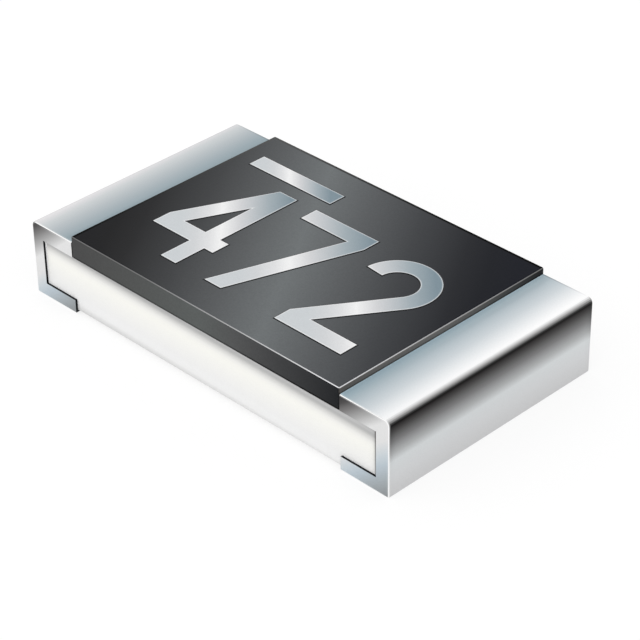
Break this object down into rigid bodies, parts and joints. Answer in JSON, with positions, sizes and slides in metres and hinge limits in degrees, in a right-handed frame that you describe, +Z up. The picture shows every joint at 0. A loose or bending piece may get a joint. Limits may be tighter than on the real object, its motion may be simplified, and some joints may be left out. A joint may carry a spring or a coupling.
{
  "type": "smd chip resistor",
  "caption": "Thick-film chip resistor: a flat alumina body under a black overcoat, with a plated metal end wrapped round each short side.",
  "frame": {"origin": "middle of the underside, in the plane of the plated pads that it stands on", "axes": "+X along the length, towards the right-hand plated end; +Y across the width; +Z up, out of the black overcoat"},
  "size_m": [0.0032, 0.0018, 0.0006],
  "materials": {
    "alumina": "unglazed white alumina, matt, fine grain",
    "black_epoxy": "black screen-printed epoxy, satin",
    "bright_tin": "bright electroplated tin, fine soft grain",
    "nickel": "electroplated nickel, warm grey, satin",
    "printed_silver": "fired silver print, pale and matt",
    "ruthenium_oxide": "fired resistive glaze, dark grey, matt",
    "green_glass": "fired green glaze, glossy",
    "silver_ink": "printed silver marking ink, satin"
  },
  "bodies": {
    "root": {"ceramic_substrate": "alumina", "resistor_film": "ruthenium_oxide", "glass_passivation": "green_glass", "overcoat": "black_epoxy", "top_electrode_left": "printed_silver", "top_electrode_right": "printed_silver", "bottom_electrode_left": "printed_silver", "bottom_electrode_right": "printed_silver", "edge_electrode_left": "printed_silver", "edge_electrode_right": "printed_silver", "nickel_barrier_left": "nickel", "nickel_barrier_right": "nickel", "tin_termination_left": "bright_tin", "tin_termination_right": "bright_tin"}
  },
  "joints": []
}
